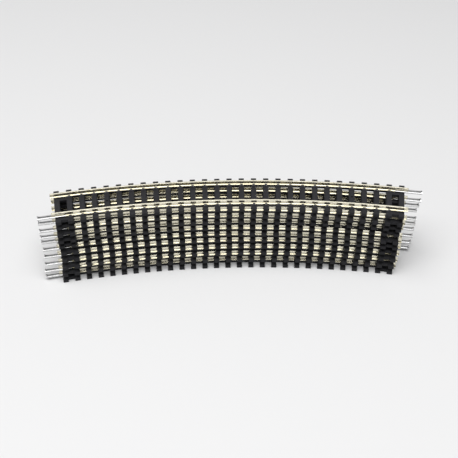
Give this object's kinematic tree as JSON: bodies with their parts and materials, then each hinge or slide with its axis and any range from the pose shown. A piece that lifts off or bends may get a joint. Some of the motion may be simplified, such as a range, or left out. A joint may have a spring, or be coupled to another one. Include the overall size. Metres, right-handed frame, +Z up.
{
  "type": "model railway track section",
  "caption": "Hand-stacked pile of curved model railway track sections: moulded sleeper bases, two profiled rails each, folded rail joiners at opposite ends.",
  "frame": {"origin": "underside of the lowest section, in the middle of its middle sleeper", "axes": "+X along the lowest section's middle tangent, to the right seen from inside the curve; +Y to the outside of the curve; +Z up"},
  "size_m": [0.2141, 0.0401, 0.0454],
  "materials": {
    "sleeper_plastic": "matt moulded, faint grain",
    "rail_metal": "drawn nickel silver, slightly warm",
    "joiner_metal": "bright rolled sheet"
  },
  "bodies": {
    "section_01": {"section_01_sleeper_base": "sleeper_plastic", "section_01_outer_rail": "rail_metal", "section_01_inner_rail": "rail_metal"},
    "section_01_left_joiner": {"section_01_left_joiner": "joiner_metal"},
    "section_01_right_joiner": {"section_01_right_joiner": "joiner_metal"},
    "section_02": {"section_02_sleeper_base": "sleeper_plastic", "section_02_outer_rail": "rail_metal", "section_02_inner_rail": "rail_metal"},
    "section_02_left_joiner": {"section_02_left_joiner": "joiner_metal"},
    "section_02_right_joiner": {"section_02_right_joiner": "joiner_metal"},
    "section_03": {"section_03_sleeper_base": "sleeper_plastic", "section_03_outer_rail": "rail_metal", "section_03_inner_rail": "rail_metal"},
    "section_03_left_joiner": {"section_03_left_joiner": "joiner_metal"},
    "section_03_right_joiner": {"section_03_right_joiner": "joiner_metal"},
    "section_04": {"section_04_sleeper_base": "sleeper_plastic", "section_04_outer_rail": "rail_metal", "section_04_inner_rail": "rail_metal"},
    "section_04_left_joiner": {"section_04_left_joiner": "joiner_metal"},
    "section_04_right_joiner": {"section_04_right_joiner": "joiner_metal"},
    "section_05": {"section_05_sleeper_base": "sleeper_plastic", "section_05_outer_rail": "rail_metal", "section_05_inner_rail": "rail_metal"},
    "section_05_left_joiner": {"section_05_left_joiner": "joiner_metal"},
    "section_05_right_joiner": {"section_05_right_joiner": "joiner_metal"},
    "section_06": {"section_06_sleeper_base": "sleeper_plastic", "section_06_outer_rail": "rail_metal", "section_06_inner_rail": "rail_metal"},
    "section_06_left_joiner": {"section_06_left_joiner": "joiner_metal"},
    "section_06_right_joiner": {"section_06_right_joiner": "joiner_metal"},
    "section_07": {"section_07_sleeper_base": "sleeper_plastic", "section_07_outer_rail": "rail_metal", "section_07_inner_rail": "rail_metal"},
    "section_07_left_joiner": {"section_07_left_joiner": "joiner_metal"},
    "section_07_right_joiner": {"section_07_right_joiner": "joiner_metal"},
    "section_08": {"section_08_sleeper_base": "sleeper_plastic", "section_08_outer_rail": "rail_metal", "section_08_inner_rail": "rail_metal"},
    "section_08_left_joiner": {"section_08_left_joiner": "joiner_metal"},
    "section_08_right_joiner": {"section_08_right_joiner": "joiner_metal"},
    "section_09": {"section_09_sleeper_base": "sleeper_plastic", "section_09_outer_rail": "rail_metal", "section_09_inner_rail": "rail_metal"},
    "section_09_left_joiner": {"section_09_left_joiner": "joiner_metal"},
    "section_09_right_joiner": {"section_09_right_joiner": "joiner_metal"},
    "section_10": {"section_10_sleeper_base": "sleeper_plastic", "section_10_outer_rail": "rail_metal", "section_10_inner_rail": "rail_metal"},
    "section_10_left_joiner": {"section_10_left_joiner": "joiner_metal"},
    "section_10_right_joiner": {"section_10_right_joiner": "joiner_metal"}
  },
  "joints": [
    {"name": "section_01_left_joiner_slide", "type": "slide", "parent": "section_01", "child": "section_01_left_joiner", "axis": [-0.9822, -0.1878, 0], "range_m": [0, 0.008]},
    {"name": "section_01_right_joiner_slide", "type": "slide", "parent": "section_01", "child": "section_01_right_joiner", "axis": [0.9822, -0.188, 0], "range_m": [0, 0.008]},
    {"name": "section_02_lift", "type": "slide", "parent": "section_01", "child": "section_02", "axis": [0, 0, 1], "range_m": [0, 0.012]},
    {"name": "section_02_left_joiner_slide", "type": "slide", "parent": "section_02", "child": "section_02_left_joiner", "axis": [-0.9822, -0.1878, 0], "range_m": [0, 0.008]},
    {"name": "section_02_right_joiner_slide", "type": "slide", "parent": "section_02", "child": "section_02_right_joiner", "axis": [0.9822, -0.188, 0], "range_m": [0, 0.008]},
    {"name": "section_03_lift", "type": "slide", "parent": "section_02", "child": "section_03", "axis": [0, 0, 1], "range_m": [0, 0.012]},
    {"name": "section_03_left_joiner_slide", "type": "slide", "parent": "section_03", "child": "section_03_left_joiner", "axis": [-0.9822, -0.1878, 0], "range_m": [0, 0.008]},
    {"name": "section_03_right_joiner_slide", "type": "slide", "parent": "section_03", "child": "section_03_right_joiner", "axis": [0.9822, -0.188, 0], "range_m": [0, 0.008]},
    {"name": "section_04_lift", "type": "slide", "parent": "section_03", "child": "section_04", "axis": [0, 0, 1], "range_m": [0, 0.012]},
    {"name": "section_04_left_joiner_slide", "type": "slide", "parent": "section_04", "child": "section_04_left_joiner", "axis": [-0.9827, -0.1852, 0], "range_m": [0, 0.008]},
    {"name": "section_04_right_joiner_slide", "type": "slide", "parent": "section_04", "child": "section_04_right_joiner", "axis": [0.9817, -0.1906, 0], "range_m": [0, 0.008]},
    {"name": "section_05_lift", "type": "slide", "parent": "section_04", "child": "section_05", "axis": [0, 0, 1], "range_m": [0, 0.012]},
    {"name": "section_05_left_joiner_slide", "type": "slide", "parent": "section_05", "child": "section_05_left_joiner", "axis": [-0.984, -0.1783, 0], "range_m": [0, 0.008]},
    {"name": "section_05_right_joiner_slide", "type": "slide", "parent": "section_05", "child": "section_05_right_joiner", "axis": [0.9803, -0.1974, 0], "range_m": [0, 0.008]},
    {"name": "section_06_lift", "type": "slide", "parent": "section_05", "child": "section_06", "axis": [0, 0, 1], "range_m": [0, 0.012]},
    {"name": "section_06_left_joiner_slide", "type": "slide", "parent": "section_06", "child": "section_06_left_joiner", "axis": [-0.9856, -0.1689, 0], "range_m": [0, 0.008]},
    {"name": "section_06_right_joiner_slide", "type": "slide", "parent": "section_06", "child": "section_06_right_joiner", "axis": [0.9784, -0.2068, 0], "range_m": [0, 0.008]},
    {"name": "section_07_lift", "type": "slide", "parent": "section_06", "child": "section_07", "axis": [0, 0, 1], "range_m": [0, 0.012]},
    {"name": "section_07_left_joiner_slide", "type": "slide", "parent": "section_07", "child": "section_07_left_joiner", "axis": [-0.9832, -0.1826, 0], "range_m": [0, 0.008]},
    {"name": "section_07_right_joiner_slide", "type": "slide", "parent": "section_07", "child": "section_07_right_joiner", "axis": [0.9812, -0.1932, 0], "range_m": [0, 0.008]},
    {"name": "section_08_lift", "type": "slide", "parent": "section_07", "child": "section_08", "axis": [0, 0, 1], "range_m": [0, 0.012]},
    {"name": "section_08_left_joiner_slide", "type": "slide", "parent": "section_08", "child": "section_08_left_joiner", "axis": [-0.9843, -0.1766, 0], "range_m": [0, 0.008]},
    {"name": "section_08_right_joiner_slide", "type": "slide", "parent": "section_08", "child": "section_08_right_joiner", "axis": [0.98, -0.1992, 0], "range_m": [0, 0.008]},
    {"name": "section_09_lift", "type": "slide", "parent": "section_08", "child": "section_09", "axis": [0, 0, 1], "range_m": [0, 0.012]},
    {"name": "section_09_left_joiner_slide", "type": "slide", "parent": "section_09", "child": "section_09_left_joiner", "axis": [-0.9862, -0.1654, 0], "range_m": [0, 0.008]},
    {"name": "section_09_right_joiner_slide", "type": "slide", "parent": "section_09", "child": "section_09_right_joiner", "axis": [0.9776, -0.2103, 0], "range_m": [0, 0.008]},
    {"name": "section_10_lift", "type": "slide", "parent": "section_09", "child": "section_10", "axis": [0, 0, 1], "range_m": [0, 0.012]},
    {"name": "section_10_left_joiner_slide", "type": "slide", "parent": "section_10", "child": "section_10_left_joiner", "axis": [-0.9841, -0.1775, 0], "range_m": [0, 0.008]},
    {"name": "section_10_right_joiner_slide", "type": "slide", "parent": "section_10", "child": "section_10_right_joiner", "axis": [0.9801, -0.1983, 0], "range_m": [0, 0.008]}
  ]
}
